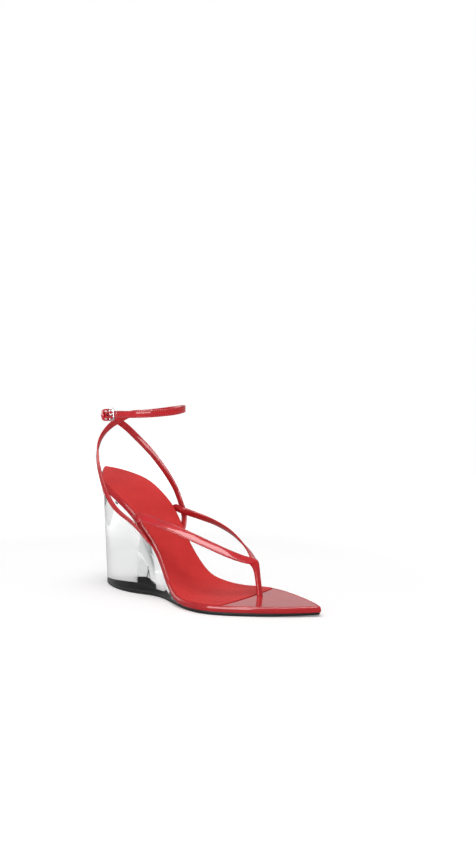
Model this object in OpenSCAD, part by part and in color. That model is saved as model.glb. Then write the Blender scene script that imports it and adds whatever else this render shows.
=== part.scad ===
// Wedge sandal, right shoe: thong front, clear wedge, buckled ankle strap.
// Millimetres. The floor is Z = 0, the toe points along +X, the inner side of the foot is +Y,
// and the origin lies on the floor under the heel seat.

/* [Sole] */
// Height of the heel seat's back corner above the floor
heel_height = 95.2; // [93:0.1:97]
// Thickness of the black outsole
outsole_t = 2.6; // [2.2:0.1:3]
// Thickness of the patent-covered insole, measured square to its top
insole_t = 4.4; // [4.2:0.1:4.8]
// Lift of the outsole's underside at the toe tip
toe_spring = 1.4; // [0.8:0.1:1.8]

/* [Insole layers] */
// Thickness of the patent leather around the insole
patent_t = 0.7; // [0.5:0.05:0.8]
// Thickness of the foam under the patent leather
foam_t = 0.9; // [0.6:0.1:1.1]
// Thickness of the matt sock lining
sock_t = 0.6; // [0.4:0.05:0.8]
// Width of the patent leather turned under the board
turn_under = 9; // [7:0.5:10]

/* [Wedge] */
// Depth of the upright rim along the wedge's top edge
rim_depth = 7; // [5:0.5:9]
// Step from the rim in to the wedge's hollowed side
rim_step = 1.3; // [0.6:0.1:2]
// How hollow the wedge's sides are: 1 is straight
side_hollow = 2.2; // [1:0.1:3]

/* [Straps] */
// Width of the two thong straps
thong_w = 7.2; // [6:0.1:8]
// Width of the ankle strap and the buckle strap
ankle_w = 5.5; // [5:0.1:5.8]
// Thickness of a strap's folded patent leather
strap_t = 0.9; // [0.7:0.05:1]
// Thickness of a strap's lining
lining_t = 0.5; // [0.4:0.05:0.6]
// Radius of the toe post
post_r = 2.3; // [2:0.1:2.5]

/* [Buckle] */
// Radius of the buckle's wire and of its bar
wire_r = 0.8; // [0.6:0.05:0.9]
// Distance from the bar to the front rim, centre to centre
frame_len = 8.5; // [8:0.1:9]
// Gap between the ankle strap's edge and the buckle's side rail
rail_gap = 0.95; // [0.8:0.05:1.2]
// Radial clearance of the fold and the prong around the bar
bar_clearance = 0.06; // [0.03:0.01:0.1]

/* [Hidden] */
$fn = 48;
eps = 0.01;
above = 200; // taller than the shoe

// ---- Layer depths, square to the insole's top -------------------------------------------
foam_top = patent_t;
board_top = patent_t + foam_t;
board_bottom = insole_t - patent_t;
shank_t = 1.2;
shank_w = 11;

// ---- Outlines, heel to toe, as [x, y] points that a smooth curve runs through -----------
heel_back = [-30, 0];
toe_tip = [197, 11];
insole_outer = [
    heel_back, [-26, -4.4], [-18, -12.4], [-10, -19.4], [-2, -25], [8, -28.4], [22, -28.2], [36, -27],
    [50, -26], [64, -25.6], [79, -30], [94, -36.8], [110, -40.9], [125, -41.4], [140, -36.5],
    [155, -27.3], [170, -16.2], [185, -2.6], toe_tip
];
insole_inner = [
    heel_back, [-26, 3.8], [-18, 10.1], [-10, 15], [-2, 18.6], [8, 20.7], [22, 20.3], [36, 18.8],
    [50, 15.2], [64, 12.2], [79, 16.4], [94, 25.4], [110, 34], [124, 38.4], [138, 37.2],
    [155, 32], [170, 26.2], [185, 18.8], toe_tip
];
base_back = [-25, 0];
base_tip = [196, 10.9];
base_outer = [
    base_back, [-21, -4.6], [-10, -13.8], [5, -21.4], [18, -25.1], [31, -26], [42, -24.8], [53, -22.8],
    [65, -23.6], [80, -28.8], [96, -35.2], [110, -39.4], [125, -40.4], [140, -35.6], [155, -26.4],
    [170, -15.4], [185, -1.8], base_tip
];
base_inner = [
    base_back, [-21, 3.8], [-10, 9.6], [5, 13.4], [17, 12.8], [28, 9], [38, 4], [49, 0.6], [60, 2.2],
    [72, 8], [84, 14.6], [97, 22], [110, 29.6], [125, 36.4], [138, 35.8], [155, 30.8], [170, 25.1],
    [185, 17.8], base_tip
];
// Side view of the insole's top, as [x, z]
seat_line = [
    [-30, heel_height], [-18, 92.3], [-2, 86.8], [9, 82], [20, 76], [35, 65.9], [50, 51.9], [60, 41.5],
    [68, 31.2], [75, 21.8], [81, 15.4], [88, 11.3], [96, 8.6], [105, 7.2], [114, 7], [150, 7],
    [170, 7.05], [185, 7.2], [197, 7.4]
];

// ---- Curve functions --------------------------------------------------------------------
function unit(v) = v / norm(v);
function last(list) = list[len(list) - 1];
// A point of the Catmull-Rom curve between b and c
function curve_point(a, b, c, d, t) =
    0.5 * (2 * b + (c - a) * t + (2 * a - 5 * b + 4 * c - d) * t * t
           + (3 * b - a - 3 * c + d) * t * t * t);
// The curve through all the points, with the given number of steps between neighbours
function smooth(points, steps) =
    let (n = len(points), ends = concat([2 * points[0] - points[1]], points,
                                        [2 * points[n - 1] - points[n - 2]]))
    concat([for (i = [0 : n - 2], j = [0 : steps - 1])
                curve_point(ends[i], ends[i + 1], ends[i + 2], ends[i + 3], j / steps)],
           [points[n - 1]]);
// A plane curve moved square to itself; turn is 1 to its right, -1 to its left
function moved(points, d, turn) =
    [for (i = [0 : len(points) - 1])
        let (a = points[max(i - 1, 0)], b = points[min(i + 1, len(points) - 1)], t = unit(b - a))
        points[i] + d * turn * [t[1], -t[0]]];
function reversed(list) = [for (i = [len(list) - 1 : -1 : 0]) list[i]];

outline_steps = 3;
outer_edge = smooth(insole_outer, outline_steps);
inner_edge = smooth(insole_inner, outline_steps);
base_outer_edge = smooth(base_outer, outline_steps);
base_inner_edge = smooth(base_inner, outline_steps);
seat = smooth(seat_line, 3);
function seat_z(x) = lookup(x, seat);

// ---- Shapes cut to the insole's outline and side view -----------------------------------
// Everything on the inner side of the outer edge, and the other way round
module inside_outer(edge, inset) {
    line = moved(edge, inset, -1);
    first = line[0];
    end = last(line);
    linear_extrude(above)
        polygon(concat([[first[0] - 40, first[1] + 45], [first[0] - 10, first[1] + 12]], line,
                       [[end[0] + 10, end[1] + 12], [end[0] + 40, end[1] + 45],
                        [end[0], 90], [first[0], 90]]));
}
module inside_inner(edge, inset) {
    line = moved(edge, inset, 1);
    first = line[0];
    end = last(line);
    linear_extrude(above)
        polygon(concat([[first[0] - 40, first[1] - 45], [first[0] - 10, first[1] - 12]], line,
                       [[end[0] + 10, end[1] - 12], [end[0] + 40, end[1] - 45],
                        [end[0], -90], [first[0], -90]]));
}
module footprint(inset) {
    intersection() {
        inside_outer(outer_edge, inset);
        inside_inner(inner_edge, inset);
    }
}
// A strip between two depths under the insole's top, seen from the side
module strip(from_depth, to_depth, from_x = -40, to_x = 220) {
    top = moved(seat, from_depth, 1);
    bottom = moved(seat, to_depth, 1);
    intersection() {
        translate([0, 90, 0]) rotate([90, 0, 0]) linear_extrude(180)
            polygon(concat([[top[0][0] - 20, top[0][1] + 4]], top, [last(top) + [20, 0]],
                           [last(bottom) + [20, 0]], reversed(bottom),
                           [[bottom[0][0] - 20, bottom[0][1] + 4]]));
        translate([from_x, -90, -20]) cube([to_x - from_x, 180, above]);
    }
}
module layer(from_depth, to_depth, inset, from_x = -40, to_x = 220) {
    intersection() {
        footprint(inset);
        strip(from_depth, to_depth, from_x, to_x);
    }
}

// ---- Sole -------------------------------------------------------------------------------
module outsole() {
    flat_end = 148;
    rise = [for (i = [0 : 6]) let (t = i / 6) [flat_end + t * (toe_tip[0] - flat_end), t * t]];
    color("#1d1d1e") difference() {
        intersection() {
            inside_outer(base_outer_edge, 0);
            inside_inner(base_inner_edge, 0);
            translate([0, 90, 0]) rotate([90, 0, 0]) linear_extrude(180)
                polygon(concat([[-40, 0]], [for (p = rise) [p[0], p[1] * toe_spring]],
                               [[toe_tip[0], outsole_t + 1], [flat_end, outsole_t + 1],
                                [flat_end, outsole_t], [-40, outsole_t]]));
        }
        strip(0, insole_t, wedge_front);
    }
}

// The clear wedge: stations from heel to ball, each a ring down its outer side and up its inner
wedge_stations = 36;
wedge_levels = 8;
wedge_front = 102;
wedge_side_gap = 0.8; // the wedge's top edge lies just inside the insole's edge
glue = 0.05;          // film of glue between the wedge and the insole
function wedge_ring(s) =
    let (x_top = -28.6 + s * (wedge_front + 28.6), x_base = -24.2 + s * (wedge_front + 24.2),
         lower = moved(seat, insole_t + glue, 1),
         z_top = max(lookup(x_top, lower), outsole_t + 0.3),
         rim = min(rim_depth, 0.42 * (z_top - outsole_t)),
         top_y = [lookup(x_top, outer_edge) + wedge_side_gap,
                  lookup(x_top, inner_edge) - wedge_side_gap],
         base_y = [lookup(x_base, base_outer_edge) + 0.2, lookup(x_base, base_inner_edge) - 0.2],
         step = min(rim_step, 0.18 * (top_y[1] - top_y[0]), 0.3 * rim),
         below_y = [top_y[0] + step, top_y[1] - step],
         z_below = z_top - rim - step)
    [for (side = [0, 1]) let (levels = [for (k = [0 : wedge_levels])
        let (t = (wedge_levels - k) / (wedge_levels - 2))
        k == 0 ? [x_top, top_y[side], z_top]
        : k == 1 ? [x_top, top_y[side], z_top - rim]
        : [x_base + (x_top - x_base) * t, base_y[side] + (below_y[side] - base_y[side])
           * pow(t, side_hollow), outsole_t + (z_below - outsole_t) * t]])
        each (side == 0 ? levels : reversed(levels))];
module wedge() {
    rings = [for (i = [0 : wedge_stations]) wedge_ring(i / wedge_stations)];
    color("#dfe5e6", 0.45) loft(rings);
}
// A closed body through rings of equal length
module loft(rings) {
    m = len(rings[0]);
    n = len(rings);
    polyhedron(
        points = [for (ring = rings) each ring],
        faces = concat(
            [[for (k = [0 : m - 1]) k]],
            [for (i = [0 : n - 2], k = [0 : m - 1])
                let (a = i * m + k, b = i * m + (k + 1) % m) each [[a, a + m, b], [b, a + m, b + m]]],
            [[for (k = [m - 1 : -1 : 0]) (n - 1) * m + k]]),
        convexity = 8);
}

// Countersunk screws, square to the heel seat, hold the board to the wedge
screw_spots = [[-9, -3], [4, -14], [4, 8]];
screw_len = 18;
screw_head_h = 1.5;
module heel_screws() {
    color("#b9bbbd") for (spot = screw_spots) {
        slope = atan((seat_z(spot[0] + 1) - seat_z(spot[0] - 1)) / 2);
        translate([spot[0], spot[1], seat_z(spot[0])]) rotate([0, -slope, 0])
            translate([0, 0, -board_top - 0.1]) {
                translate([0, 0, -screw_len]) cylinder(h = screw_len, r = 1.6);
                translate([0, 0, -screw_head_h]) cylinder(h = screw_head_h, r1 = 1.6, r2 = 3.1);
            }
    }
}

module insole_board() {
    color("#b58a5a") difference() {
        layer(board_top, board_bottom, patent_t);
        shank_body(eps);
        anchor_disc(0.1);
    }
}
// The steel shank lies in a slot in the board's underside
module shank_body(gap) {
    intersection() {
        strip(board_bottom - shank_t - gap, board_bottom + gap);
        translate([18 - gap, -6 - shank_w / 2 - gap, 0]) cube([84 + 2 * gap, shank_w + 2 * gap, above]);
    }
}
module shank() {
    color("#8f9396") difference() {
        shank_body(0);
        for (x = rivet_x) translate([x, -6, 0]) cylinder(h = above, r = 1.5);
    }
}
rivet_x = [23, 97];
module shank_rivets() {
    color("#c9b37a") for (x = rivet_x) intersection() {
        translate([x, -6, 0]) cylinder(h = above, r = 1.5);
        strip(board_top, board_bottom);
    }
}
module bottom_filler() {
    color("#9b7b57") layer(board_bottom, insole_t - eps, patent_t + turn_under + 0.3, -10, 180);
}
module foam_pad() {
    color("#e8e2d2") difference() {
        layer(foam_top, board_top, patent_t + 1.3, -24, 186);
        post_hole(0.1);
    }
}
module insole_cover() {
    color("#c4141f") difference() {
        layer(0, insole_t, 0);
        layer(foam_top, board_bottom, patent_t);
        layer(board_bottom - eps, insole_t + 1, patent_t + turn_under, -12, 182);
        post_hole(0.15);
    }
}
// The matt lining covers heel to ball, and its front edge is a shallow arc
module sock_lining() {
    arc_r = 277;
    color("#c92a2e") intersection() {
        layer(-sock_t, 0, 1.7);
        translate([139.4 - arc_r, -45, 0]) cylinder(h = above, r = arc_r, $fn = 360);
        difference() {
            cube([600, 600, 2 * above], center = true);
            post_hole(0.15);
        }
    }
}

// ---- Straps -----------------------------------------------------------------------------
// A strap's route is a list of [x, y, z, fx, fy, fz]: a point, and the way its outer face looks
function place(k) = [k[0], k[1], k[2]];
function facing(k) = [k[3], k[4], k[5]];
function strap_ring(route, i, width, low, high) =
    let (t = unit(place(route[min(i + 1, len(route) - 1)]) - place(route[max(i - 1, 0)])),
         f = facing(route[i]), out = unit(f - (f * t) * t), side = cross(t, out),
         p = place(route[i]))
    [p - side * width / 2 + out * high, p + side * width / 2 + out * high,
     p + side * width / 2 + out * low, p - side * width / 2 + out * low];
module band(route, width, low, high) {
    loft([for (i = [0 : len(route) - 1]) strap_ring(route, i, width, low, high)]);
}

// A knot of a strap's hidden end, flat under the board
tuck = insole_t - strap_t;
function tucked(x, y) =
    let (slope = atan((seat_z(x + 1) - seat_z(x - 1)) / 2))
    [x + tuck * sin(slope), y, seat_z(x) - tuck * cos(slope), sin(slope), 0, -cos(slope)];

thong_joint = [133.2, 10.8, 32];
outer_thong_route = smooth([
    tucked(36, -17), tucked(39.5, -23), [39.8, -27.8, 58.6, -0.3, -1, -0.5],
    [43.5, -29.7, 60.6, 0, -1, 0], [48, -30.7, 61.8, 0.2, -1, 0.2], [54, -31.3, 62.1, 0.2, -1, 0.5],
    [61.7, -31, 61, 0.2, -1, 0.9], [70.1, -29, 58.9, 0.2, -1, 1.2], [78.2, -26.1, 56.5, 0.2, -1, 1.2],
    [86.2, -23, 53.7, 0.3, -1, 1.2], [94, -19.7, 50.6, 0.3, -1, 1.2], [101.5, -16, 47.3, 0.4, -0.9, 1.2],
    [108.7, -11.9, 43.9, 0.4, -0.8, 1.1], [115.6, -7.3, 40.3, 0.5, -0.7, 1],
    [122.2, -2.2, 36.9, 0.5, -0.6, 1], [128.4, 3.9, 33.8, 0.6, -0.4, 1], concat(thong_joint, [0.8, 0, 1])
], 3);
inner_thong_route = smooth([
    tucked(30, 8), tucked(33, 14.2), [34.4, 18.7, 62.4, -0.3, 1, -0.4], [37, 18.9, 63.9, 0, 1, 0],
    [41, 19, 62.9, 0, 1, 0], [46, 20, 61.5, 0, 1, 0], [53, 23.5, 59.2, 0.1, 1, 0.2],
    [61.5, 27.6, 56.3, 0.1, 1, 0.35], [70, 29.9, 53.7, 0.2, 1, 0.6], [80, 31, 50.3, 0.2, 1, 0.7],
    [90, 30.2, 46.8, 0.3, 1, 0.8], [101, 27.2, 42.6, 0.4, 1, 0.9], [112, 22.9, 38.7, 0.4, 0.8, 1],
    [121, 18, 35.6, 0.5, 0.6, 1], [128, 13.4, 33.3, 0.6, 0.3, 1], concat(thong_joint, [0.8, 0, 1])
], 3);
thong_inner_w = thong_w - 1.2;
module thong_strap_outer() {
    color("#c4141f") band(outer_thong_route, thong_w, 0, strap_t);
}
module thong_lining_outer() {
    color("#a8242a") band(outer_thong_route, thong_w - 0.4, -lining_t, 0);
}
module thong_strap_inner() {
    color("#c4141f") band(inner_thong_route, thong_inner_w, 0, strap_t);
}
module thong_lining_inner() {
    color("#a8242a") band(inner_thong_route, thong_inner_w - 0.4, -lining_t, 0);
}

// The toe post leans forward from the thong's joint down through the insole
post_foot = [139.6, 8.2, 7];
post_top = thong_joint + [0.3, 0, 0.8];
post_lean = [0, acos(unit(post_top - post_foot)[2]), atan2(post_top[1] - post_foot[1],
                                                          post_top[0] - post_foot[0])];
post_h = norm(post_top - post_foot);
post_bury = 3.2;
module along_post(below, length, r) {
    translate(post_foot) rotate(post_lean) translate([0, 0, -below]) cylinder(h = length, r = r);
}
module post_hole(gap) {
    along_post(10, 20, post_r + gap);
}
core_r = 1.1;
module toe_post() {
    color("#c4141f") difference() {
        along_post(post_bury - 1, post_h + post_bury - 1, post_r);
        along_post(post_bury, post_h + post_bury - 1.5, core_r);
    }
}
module post_core() {
    color("#e9e4da") along_post(post_bury - 0.8, post_h + post_bury - 2.6, core_r);
}
// A round plate set in the board, with a socket for the post's end
anchor_r = 5;
module anchor_disc(gap) {
    translate([post_foot[0] + 0.8, post_foot[1], post_foot[2] - board_bottom - gap])
        cylinder(h = board_bottom - board_top - 0.1 + 2 * gap, r = anchor_r + gap);
}
module post_anchor() {
    color("#77797b") difference() {
        anchor_disc(0);
        along_post(post_bury - 0.7, 10, post_r + 0.1);
    }
}

// ---- Ankle loop: an ellipse, slightly higher at its front and twisted a little -------------
loop_c = [28, -4.5, 141.5];
loop_rx = 35;
loop_ry = 27;
loop_tilt = 0.07;
loop_twist = 0.002;
loop_far_rise = 0.05;
function loop_point(a) =
    let (x = loop_rx * cos(a), y = loop_ry * sin(a))
    [loop_c[0] + x, loop_c[1] + y,
     loop_c[2] + loop_tilt * x + loop_twist * x * y + loop_far_rise * max(0, y),
     cos(a) / loop_rx, sin(a) / loop_ry, 0];
// Facings have different lengths, so each is made a unit before the curve is drawn
function even(list) = [for (k = list) concat(place(k), unit(facing(k)))];

// The buckle's own axes: u along the strap to the toe, w up the bar, n away from the leg
bar_at = [13.2, -29.2, 140.6];
buckle_turn = [0, -4, -20];
u_dir = [cos(4) * cos(20), -cos(4) * sin(20), sin(4)];
n_dir = [-sin(20), -cos(20), 0];
function at_buckle(u, n) = concat(bar_at + u * u_dir + n * n_dir, n_dir);
module on_buckle() {
    translate(bar_at) rotate(buckle_turn) children();
}
fold_r = 1.8;
fold_back = 0.8;               // thickness of the fold's stitched end
over_fold = fold_r + lining_t + 0.3;
over_tab = strap_t + fold_back + lining_t + 0.15;
under_rim = wire_r + strap_t + 0.25;
straight_back = -10.6;         // the straps are straight from here to the bar
tip_end = -12;

ankle_route = smooth(even(concat([
    tucked(59, -13), tucked(59, -20), [56.2, -26.4, 42, -0.5, -1, -0.7],
    [53, -28.8, 46.9, -0.4, -1, -0.6], [47, -30.2, 52.8, -0.3, -1, -0.5],
    [40.3, -32.6, 58.8, -0.3, -1, -0.5], [34.1, -36.2, 64, -0.2, -1, -0.4],
    [28.8, -39.4, 70.1, -0.1, -1, -0.3], [24.3, -41.3, 77.6, -0.1, -1, -0.1],
    [20.3, -41.9, 85.5, -0.2, -1, 0], [16.2, -41.5, 93.5, -0.3, -1, 0],
    [11.8, -40.1, 101.3, -0.4, -1, 0], [7.5, -37.4, 108.7, -0.6, -1, 0.1],
    [3.4, -33.1, 115.6, -1, -0.9, 0.1], [0, -27.2, 121.8, -1, -0.6, 0.2],
    [-2.6, -19.6, 127.3, -1, -0.4, 0.2], [-4.2, -11.6, 131.6, -1, -0.2, 0.1],
    [-5, -3.6, 134.6, -1, -0.1, 0]],
    [for (a = [154 : -22 : -78]) loop_point(a)],
    [at_buckle(frame_len + 5, -under_rim - 0.2), at_buckle(frame_len, -under_rim),
     at_buckle(frame_len / 2, (over_fold - under_rim) / 2), at_buckle(0.4, over_fold),
     at_buckle(-2.4, over_tab + 0.1), at_buckle(-5.5, over_tab), at_buckle(straight_back, over_tab),
     at_buckle(tip_end, over_tab)])), 3);
buckle_strap_route = smooth(even([
    tucked(51, 2), tucked(51, 9), [48.8, 14.6, 47.9, -0.4, 1, -0.4],
    [46.8, 18.6, 51.8, -0.3, 1, 0], [44.7, 21.3, 56, -0.1, 1, 0], [42.7, 22.3, 61, -0.1, 1, 0],
    [40.2, 22.5, 66.4, 0, 1, 0], [36.4, 23.2, 72.4, 0, 1, 0], [30.8, 24.2, 79.7, 0, 1, 0],
    [25.1, 23.9, 86.8, -0.1, 1, 0], [19.3, 23, 93.7, -0.2, 1, 0], [13.3, 21.8, 100.3, -0.3, 1, 0],
    [7.1, 20.4, 106.7, -0.5, 1, 0.1], [1, 18.2, 113, -0.7, 1, 0.1], [-4.6, 14.9, 119.3, -0.9, 0.9, 0.2],
    [-9.2, 10.6, 125.7, -1, 0.6, 0.3],
    [-12.1, 4.6, 131.4, -1, 0.2, 0.2], [-12.6, -2.8, 135.2, -1, -0.1, 0.1],
    [-10.2, -10.4, 137.7, -1, -0.4, 0], [-5.2, -17.2, 139, -1, -0.8, 0], [-0.4, -21.8, 139.5, -0.6, -1, 0],
    at_buckle(straight_back, 0), at_buckle(-6, 0), at_buckle(-fold_r, 0)]), 3);
module ankle_strap() {
    color("#c4141f") difference() {
        band(ankle_route, ankle_w, 0, strap_t);
        prong_slot();
    }
}
module ankle_strap_lining() {
    color("#a8242a") difference() {
        band(ankle_route, ankle_w - 0.4, -lining_t, 0);
        prong_slot();
    }
}
module buckle_strap() {
    color("#c4141f") band(buckle_strap_route, ankle_w, 0, strap_t);
}
module buckle_strap_lining() {
    color("#a8242a") band(buckle_strap_route, ankle_w - 0.4, -lining_t, 0);
}
slot_half_w = 0.95;
module prong_slot() {
    on_buckle() translate([0.2, -6, -slot_half_w]) cube([5.8, 9, 2 * slot_half_w]);
}

// The buckle strap's end is folded round the bar and stitched back on itself
prong_room = 1.15;
module bar_fold() {
    half = ankle_w / 2;
    color("#b81a22") on_buckle() difference() {
        union() {
            translate([0, 0, -half]) cylinder(h = ankle_w, r = fold_r);
            translate([-9, -strap_t - fold_back, -half]) cube([9, fold_back, ankle_w]);
            translate([-fold_r, -strap_t - fold_back, -half])
                cube([fold_r, strap_t + fold_back + lining_t, ankle_w]);
        }
        translate([0, 0, -half - 1]) cylinder(h = ankle_w + 2, r = wire_r + bar_clearance);
        translate([-2.4, -6, -prong_room]) cube([6, 12, 2 * prong_room]);
    }
}

keeper_len = 4.2;
keeper_wall = 1.3;
keeper_gap = 0.3;
keeper_slack = 0.8; // to each side of the straps
module keeper_loop() {
    low = -lining_t - keeper_gap;
    high = over_tab + strap_t + keeper_gap;
    half = ankle_w / 2 + keeper_slack;
    color("#c4141f") on_buckle() translate([-2.8, 0, 0]) rotate([0, -90, 0])
        linear_extrude(keeper_len) difference() {
            polygon(rounded_box([-half - keeper_wall, -high - keeper_wall],
                                [half + keeper_wall, -low + keeper_wall], 2.9));
            polygon(rounded_box([-half, -high], [half, -low], 1.6));
        }
}
function rounded_box(a, b, r) =
    [for (q = [[b[0] - r, b[1] - r, 0], [a[0] + r, b[1] - r, 90], [a[0] + r, a[1] + r, 180],
               [b[0] - r, a[1] + r, 270]], i = [0 : 4])
        [q[0] + r * cos(q[2] + i * 22.5), q[1] + r * sin(q[2] + i * 22.5)]];

// ---- Buckle -----------------------------------------------------------------------------
rail_w = ankle_w / 2 + rail_gap + wire_r;
eye_r = wire_r + 0.6;
module buckle_frame() {
    color("#c8cacc") on_buckle() difference() {
        union() {
            for (w = [-rail_w, rail_w]) {
                translate([0, 0, w]) rotate([0, 90, 0]) cylinder(h = frame_len, r = wire_r);
                translate([frame_len, 0, w]) sphere(r = wire_r);
                translate([0, 0, w - wire_r]) cylinder(h = 2 * wire_r, r = eye_r);
            }
            translate([frame_len, 0, -rail_w]) cylinder(h = 2 * rail_w, r = wire_r);
        }
        translate([0, 0, -rail_w - 2]) cylinder(h = 2 * rail_w + 4, r = wire_r);
    }
}
module buckle_bar() {
    color("#b4b6b8") on_buckle() translate([0, 0, -rail_w - wire_r])
        cylinder(h = 2 * (rail_w + wire_r), r = wire_r);
}
prong_r = 0.6;
module buckle_prong() {
    rest = -(wire_r + prong_r + 0.04);
    start = [1, -0.75, 0];
    over_rim = [frame_len, rest, 0];
    reach = over_rim - start;
    color("#d4d6d8") on_buckle() difference() {
        union() {
            translate([0, 0, -0.9]) cylinder(h = 1.8, r = eye_r + 0.1);
            translate(start) rotate([0, 90, atan2(reach[1], reach[0])])
                cylinder(h = norm(reach), r = prong_r);
            translate(over_rim) sphere(r = prong_r);
            translate(over_rim) rotate([0, 90, 0]) cylinder(h = 1.2, r = prong_r);
            translate(over_rim + [1.2, 0, 0]) sphere(r = prong_r);
        }
        translate([0, 0, -2]) cylinder(h = 4, r = wire_r + bar_clearance);
    }
}

outsole();
wedge();
heel_screws();
insole_board();
shank();
shank_rivets();
bottom_filler();
foam_pad();
insole_cover();
sock_lining();
thong_strap_outer();
thong_lining_outer();
thong_strap_inner();
thong_lining_inner();
toe_post();
post_core();
post_anchor();
ankle_strap();
ankle_strap_lining();
buckle_strap();
buckle_strap_lining();
bar_fold();
keeper_loop();
buckle_frame();
buckle_bar();
buckle_prong();
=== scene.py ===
"""Wedge sandal, right shoe: the looks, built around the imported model.

Shapes are worked out in millimetres, in the model's own frame, and become metres as each mesh is made:
the floor is z = 0, the toe points along +x and the inner side of the foot is +y.
"""

import math

import bmesh
import bpy
import numpy as np
from mathutils import Matrix, Vector


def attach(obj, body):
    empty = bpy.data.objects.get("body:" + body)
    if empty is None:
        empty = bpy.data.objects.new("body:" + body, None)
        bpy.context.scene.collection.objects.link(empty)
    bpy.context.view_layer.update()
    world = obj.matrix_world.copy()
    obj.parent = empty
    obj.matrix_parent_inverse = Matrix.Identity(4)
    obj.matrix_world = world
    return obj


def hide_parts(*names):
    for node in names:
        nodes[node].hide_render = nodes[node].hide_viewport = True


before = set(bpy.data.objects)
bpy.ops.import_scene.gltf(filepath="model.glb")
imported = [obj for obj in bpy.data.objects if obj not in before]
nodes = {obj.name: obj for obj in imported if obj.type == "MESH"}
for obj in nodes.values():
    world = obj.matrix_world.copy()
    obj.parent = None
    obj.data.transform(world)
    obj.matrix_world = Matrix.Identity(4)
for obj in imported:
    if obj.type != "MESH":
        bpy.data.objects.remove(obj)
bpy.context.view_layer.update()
MM = 0.001

# ---- Sizes shared with the solid model, in mm ---------------------------------------------
OUTSOLE_T = 2.6
INSOLE_T = 4.4
SOCK_T = 0.6
STRAP_T = 0.9
LINING_T = 0.5
THONG_W = 7.2
THONG_INNER_W = 6.0
ANKLE_W = 5.5
WEDGE_FRONT = 102
TOE_SPRING = 1.4
FLAT_END = 148
GLUE = 0.05

HEEL_BACK = (-30, 0)
TOE_TIP = (197, 11)
INSOLE_OUTER = [
    HEEL_BACK, (-26, -4.4), (-18, -12.4), (-10, -19.4), (-2, -25), (8, -28.4), (22, -28.2), (36, -27),
    (50, -26), (64, -25.6), (79, -30), (94, -36.8), (110, -40.9), (125, -41.4), (140, -36.5),
    (155, -27.3), (170, -16.2), (185, -2.6), TOE_TIP,
]
INSOLE_INNER = [
    HEEL_BACK, (-26, 3.8), (-18, 10.1), (-10, 15), (-2, 18.6), (8, 20.7), (22, 20.3), (36, 18.8),
    (50, 15.2), (64, 12.2), (79, 16.4), (94, 25.4), (110, 34), (124, 38.4), (138, 37.2),
    (155, 32), (170, 26.2), (185, 18.8), TOE_TIP,
]
BASE_BACK = (-25, 0)
BASE_TIP = (196, 10.9)
BASE_OUTER = [
    BASE_BACK, (-21, -4.6), (-10, -13.8), (5, -21.4), (18, -25.1), (31, -26), (42, -24.8), (53, -22.8),
    (65, -23.6), (80, -28.8), (96, -35.2), (110, -39.4), (125, -40.4), (140, -35.6), (155, -26.4),
    (170, -15.4), (185, -1.8), BASE_TIP,
]
BASE_INNER = [
    BASE_BACK, (-21, 3.8), (-10, 9.6), (5, 13.4), (17, 12.8), (28, 9), (38, 4), (49, 0.6), (60, 2.2),
    (72, 8), (84, 14.6), (97, 22), (110, 29.6), (125, 36.4), (138, 35.8), (155, 30.8), (170, 25.1),
    (185, 17.8), BASE_TIP,
]
# Side view of the insole's top, as (x, z)
SEAT_LINE = [
    (-30, 95.2), (-18, 92.3), (-2, 86.8), (9, 82), (20, 76), (35, 65.9), (50, 51.9), (60, 41.5),
    (68, 31.2), (75, 21.8), (81, 15.4), (88, 11.3), (96, 8.6), (105, 7.2), (114, 7), (150, 7),
    (170, 7.05), (185, 7.2), (197, 7.4),
]


# ---- Curves -------------------------------------------------------------------------------
def curve(knots, steps=12):
    """The Catmull-Rom curve through the knots."""
    k = np.array(knots, float)
    ends = np.vstack([2 * k[0] - k[1], k, 2 * k[-1] - k[-2]])
    points = []
    for a, b, c, d in zip(ends, ends[1:], ends[2:], ends[3:]):
        for t in np.arange(steps) / steps:
            points.append(0.5 * (2 * b + (c - a) * t + (2 * a - 5 * b + 4 * c - d) * t**2
                                 + (3 * b - a - 3 * c + d) * t**3))
    points.append(k[-1])
    return np.array(points)


def lengths(points):
    """How far along the line each of its points lies."""
    return np.r_[0, np.cumsum(np.linalg.norm(np.diff(points[:, :3], axis=0), axis=1))]


def even(points, spacing):
    """The same line with points at one spacing."""
    along = lengths(points)
    at = np.linspace(0, along[-1], max(2, round(along[-1] / spacing) + 1))
    return np.column_stack([np.interp(at, along, points[:, i]) for i in range(points.shape[1])])


def eased(points, passes):
    """The line with its curvature evened out and its ends kept."""
    p = points.copy()
    for _ in range(passes):
        p[1:-1] += 0.5 * (0.5 * (p[:-2] + p[2:]) - p[1:-1])
    return p


def unit(v):
    """The vectors at length 1."""
    v = np.asarray(v, float)
    return v / np.maximum(np.linalg.norm(v, axis=-1, keepdims=True), 1e-9)


def rightward(path, closed=False):
    """The unit vectors to the right of a flat path's direction."""
    step = np.roll(path, -1, 0) - np.roll(path, 1, 0) if closed else np.gradient(path, axis=0)
    step = unit(step)
    return np.column_stack([step[:, 1], -step[:, 0]])


def arc(x, y, radius, start, steps=8, span=90):
    """Points round a flat arc, from the start angle in degrees."""
    turns = [math.radians(start + span * i / steps) for i in range(steps + 1)]
    return [(x + radius * math.cos(a), y + radius * math.sin(a)) for a in turns]


def oval(wide, high, power=0.8, count=20):
    """Points round an ellipse, squarer as the power falls from 1."""
    return [(wide * math.copysign(abs(math.cos(a)) ** power, math.cos(a)),
             high * math.copysign(abs(math.sin(a)) ** power, math.sin(a)))
            for a in np.arange(count) * 2 * math.pi / count]


seat = eased(even(curve(SEAT_LINE), 0.5), 60)


def seat_z(x):
    return np.interp(x, seat[:, 0], seat[:, 1])


def seat_slope(x):
    return np.arctan(seat_z(x + 0.5) - seat_z(x - 0.5))


EDGE_ROWS = 260
TIP_PASSES = 14


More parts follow.
